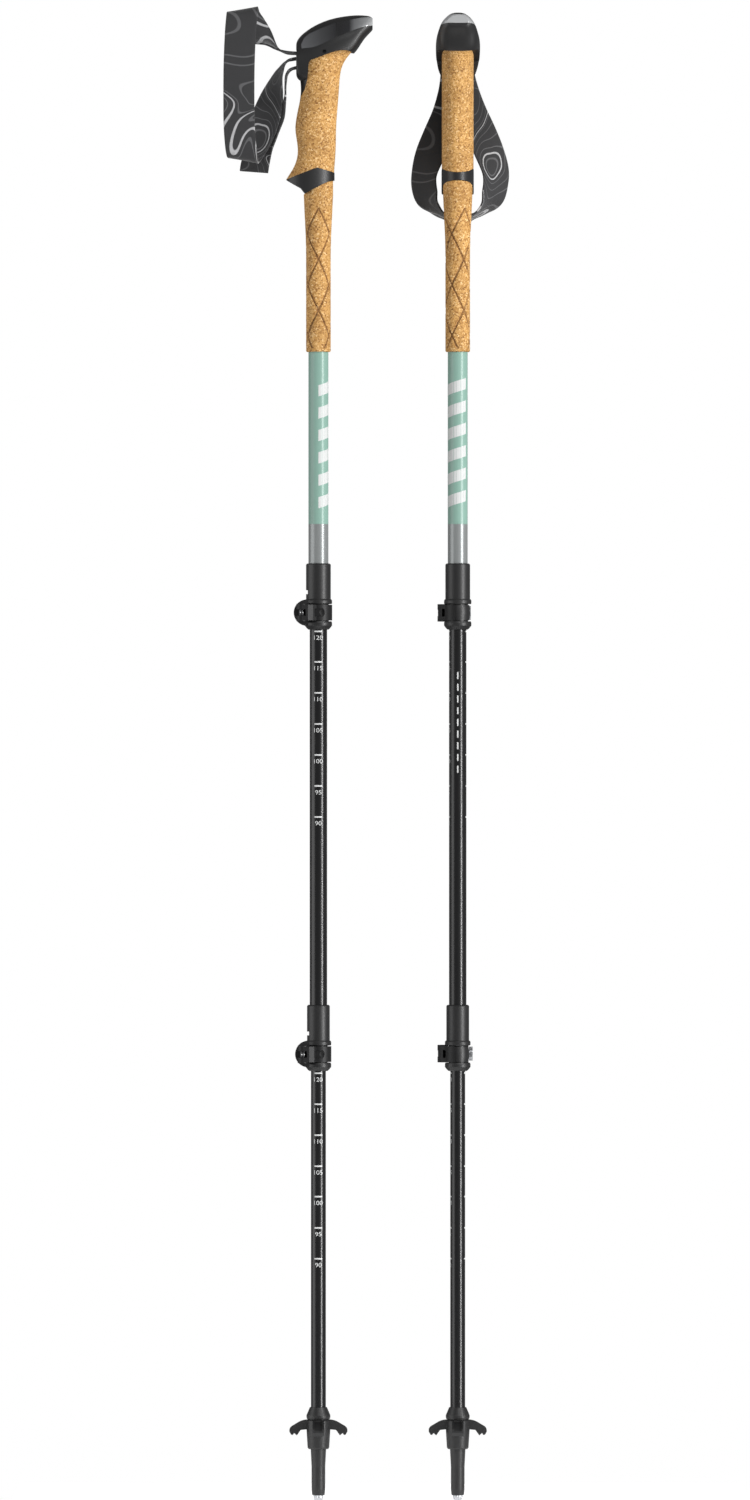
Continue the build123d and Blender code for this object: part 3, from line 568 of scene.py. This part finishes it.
LEVER_PIVOTS = {"upper": (-13.3, 719.8), "lower": (-12.3, 365.0)}
EYE_CENTRE, EYE_RADIUS = -11.9, 2.5
DOT_RADIUS, DOT_DEPTH, DOT_OFFSET, DOT_SUNK = 0.62, 0.4, 0.85, 0.12


def flat_bar(width, tall, height, slant=0.0):
    """A flat print, X across and Y up, its right end raised by slant."""
    bpy.ops.object.select_all(action="DESELECT")
    bpy.ops.mesh.primitive_plane_add(size=1, location=(0, 0, 0))
    bar = bpy.context.object
    bpy.ops.object.mode_set(mode="EDIT")
    bpy.ops.mesh.select_all(action="SELECT")
    bpy.ops.transform.resize(value=(width, tall, 1))
    bpy.ops.mesh.subdivide(number_cuts=9)
    bpy.ops.transform.translate(value=(0, height, 0))
    bpy.ops.object.mode_set(mode="OBJECT")
    for vertex in bar.data.vertices:
        vertex.co.y += slant * vertex.co.x / width
    return bar


def flat_number(words, height):
    """A flat number, hung from its top edge."""
    bpy.ops.object.select_all(action="DESELECT")
    bpy.ops.object.text_add(location=(0, 0, 0))
    number = bpy.context.object
    number.data.body = words
    number.data.size = DIGIT_TALL / DIGIT_SHARE
    number.data.align_x = "CENTER"
    number.data.align_y = "TOP"
    bpy.ops.object.convert(target="MESH")
    number = bpy.context.object
    bpy.ops.object.mode_set(mode="EDIT")
    bpy.ops.mesh.select_all(action="SELECT")
    bpy.ops.mesh.subdivide(number_cuts=3)
    bpy.ops.object.mode_set(mode="OBJECT")
    middle = (min(v.co.x for v in number.data.vertices) + max(v.co.x for v in number.data.vertices)) / 2
    top = max(v.co.y for v in number.data.vertices)
    for vertex in number.data.vertices:
        vertex.co.x = (vertex.co.x - middle) * DIGIT_STRETCH
        vertex.co.y += height - top
    return number


def wrapped(flat, radius, azimuth):
    """Wrap a flat print round a tube. Azimuth 0 faces -Y."""
    for vertex in flat.data.vertices:
        turn = radians(azimuth) + vertex.co.x / radius
        reach = radius + PRINT_THICKNESS
        vertex.co = (reach * sin(turn), -reach * cos(turn), vertex.co.y)
    return flat


def joined(name, pieces):
    """Join pieces into one object."""
    bpy.ops.object.select_all(action="DESELECT")
    for piece in pieces:
        piece.select_set(True)
    bpy.context.view_layer.objects.active = pieces[0]
    bpy.ops.object.join()
    pieces[0].name = name
    return pieces[0]


def one_print(name, pieces):
    """Join wrapped prints into one thin solid."""
    made = joined(name, pieces)
    skin = made.modifiers.new("ink", "SOLIDIFY")
    skin.thickness = PRINT_THICKNESS * 0.8
    skin.offset = 1.0
    bpy.ops.object.modifier_apply(modifier="ink")
    return made


for side in SIDES:
    for section, (radius, heights) in SCALES.items():
        pieces = []
        for height, words in zip(heights, NUMBERS):
            pieces.append(wrapped(flat_bar(BAR_WIDTH, BAR_TALL, height), radius, 0))
            pieces.append(wrapped(flat_bar(BAR_WIDTH, BAR_TALL, height), radius, 180))
            pieces.append(wrapped(flat_number(words, height - NUMBER_DROP), radius, 0))
        if section == "mid":
            for step in range(DASH_COUNT):
                dash = flat_bar(DASH_WIDTH, DASH_TALL, DASH_FOOT + DASH_STEP * step)
                pieces.append(wrapped(dash, radius, DASH_AZIMUTH))
        settle(one_print(f"{side}_{section}_scale", pieces), side, section, "black_tube", print_white)
    # two dots on the eye of each draw screw, seen between the lever's prongs
    for lock, (pivot_x, height) in LEVER_PIVOTS.items():
        dots = []
        for offset in (-DOT_OFFSET, DOT_OFFSET):
            bpy.ops.object.select_all(action="DESELECT")
            bpy.ops.mesh.primitive_cylinder_add(
                vertices=24, radius=DOT_RADIUS, depth=DOT_DEPTH, location=(0, 0, 0),
            )
            dot = bpy.context.object
            bpy.ops.object.mode_set(mode="EDIT")
            bpy.ops.mesh.select_all(action="SELECT")
            bpy.ops.transform.rotate(value=radians(90), orient_axis="X", center_override=(0, 0, 0))
            front = EYE_CENTRE - sqrt(EYE_RADIUS ** 2 - offset ** 2) + DOT_SUNK
            bpy.ops.transform.translate(value=(pivot_x + offset, front, height))
            bpy.ops.object.mode_set(mode="OBJECT")
            dots.append(dot)
        eye = joined(f"{side}_{lock}_lever_dots", dots)
        settle(eye, side, "upper" if lock == "upper" else "mid", "black_lever", print_white)
    stripes = []
    for step in range(STRIPE_COUNT):
        stripe = flat_bar(STRIPE_WIDTH, STRIPE_TALL, STRIPE_FOOT + STRIPE_STEP * step, STRIPE_SLANT)
        stripes.append(wrapped(stripe, STRIPE_TUBE, STRIPE_AZIMUTH))
    settle(one_print(f"{side}_stripes", stripes), side, "upper", "mint_lacquer", print_white)

# ------------------------------------------------------------------ studio
# A pale floor under the points and plain soft light: a narrow strip on the right, a wide dim
# panel on the left and a high one in front.
CENTRE_ACROSS, CENTRE_UP = 0.05, -0.5     # the point the lights face, in metres
FLOOR_SIZE, FLOOR_GAP = 0.6, 0.0002
bpy.ops.mesh.primitive_plane_add(
    size=FLOOR_SIZE, location=(CENTRE_ACROSS, 0, -GRIP_HEIGHT * MM - FLOOR_GAP),
)
floor = bpy.context.object
floor.name = "floor"
pale, shader = new_material("pale_floor", (0.95, 0.95, 0.95), 0.9)
shader.inputs["Emission Color"].default_value = (1, 1, 1, 1)
shader.inputs["Emission Strength"].default_value = 0.62
floor.data.materials.append(pale)

world = bpy.context.scene.world or bpy.data.worlds.new("studio")
bpy.context.scene.world = world
world.use_nodes = True
tree = world.node_tree
tree.nodes.clear()
out = tree.nodes.new("ShaderNodeOutputWorld")
seen = tree.nodes.new("ShaderNodeBackground")
seen.inputs[0].default_value = (1, 1, 1, 1)
seen.inputs[1].default_value = 1.0
felt = tree.nodes.new("ShaderNodeBackground")
felt.inputs[0].default_value = (1, 1, 1, 1)
felt.inputs[1].default_value = 0.22
which = tree.nodes.new("ShaderNodeMixShader")
path = tree.nodes.new("ShaderNodeLightPath")
tree.links.new(path.outputs["Is Camera Ray"], which.inputs[0])
tree.links.new(felt.outputs[0], which.inputs[1])
tree.links.new(seen.outputs[0], which.inputs[2])
tree.links.new(which.outputs[0], out.inputs[0])


def panel(name, azimuth, distance, width, tall, power, rise=0.0):
    """A flat light at an azimuth round the poles, facing them. Azimuth 0 is the camera's side."""
    angle = radians(azimuth)
    centre = Vector((CENTRE_ACROSS, 0, CENTRE_UP))
    spot = Vector((
        CENTRE_ACROSS + distance * sin(angle), -distance * cos(angle), CENTRE_UP + rise,
    ))
    bpy.ops.object.light_add(type="AREA", location=spot)
    light = bpy.context.object
    light.name = name
    light.data.shape = "RECTANGLE"
    light.data.size, light.data.size_y = width, tall
    light.data.energy = power
    light.rotation_euler = (centre - spot).to_track_quat("-Z", "Y").to_euler()


panel("strip_right", 52, 3.0, 0.30, 4.0, 135)
panel("panel_left", -75, 3.0, 2.6, 4.0, 60)
panel("panel_front", 20, 4.0, 3.0, 1.2, 45, 3.0)
